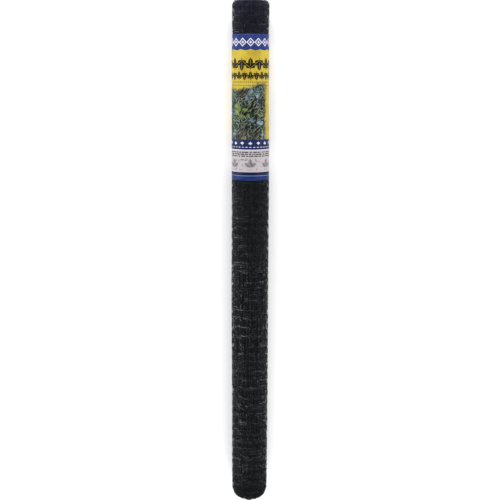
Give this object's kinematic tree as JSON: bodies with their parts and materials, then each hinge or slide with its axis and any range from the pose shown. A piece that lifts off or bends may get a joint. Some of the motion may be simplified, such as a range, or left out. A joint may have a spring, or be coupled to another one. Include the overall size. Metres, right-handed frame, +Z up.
{
  "type": "bird netting roll",
  "caption": "Long slim roll of black plastic bird netting, folded once and wound into layers, held by a printed paper sleeve near one end.",
  "frame": {"origin": "middle of the underside, on the surface that the roll lies on", "axes": "+Y along the roll towards the end that the sleeve is near, +Z up, +X across the roll"},
  "size_m": [0.0776, 1.067, 0.077],
  "materials": {
    "netting": "satin black extruded mesh, wound in many layers",
    "printed_sleeve": "glossy printed paper"
  },
  "bodies": {
    "root": {"netting_roll": "netting", "label_sleeve": "printed_sleeve"}
  },
  "joints": []
}
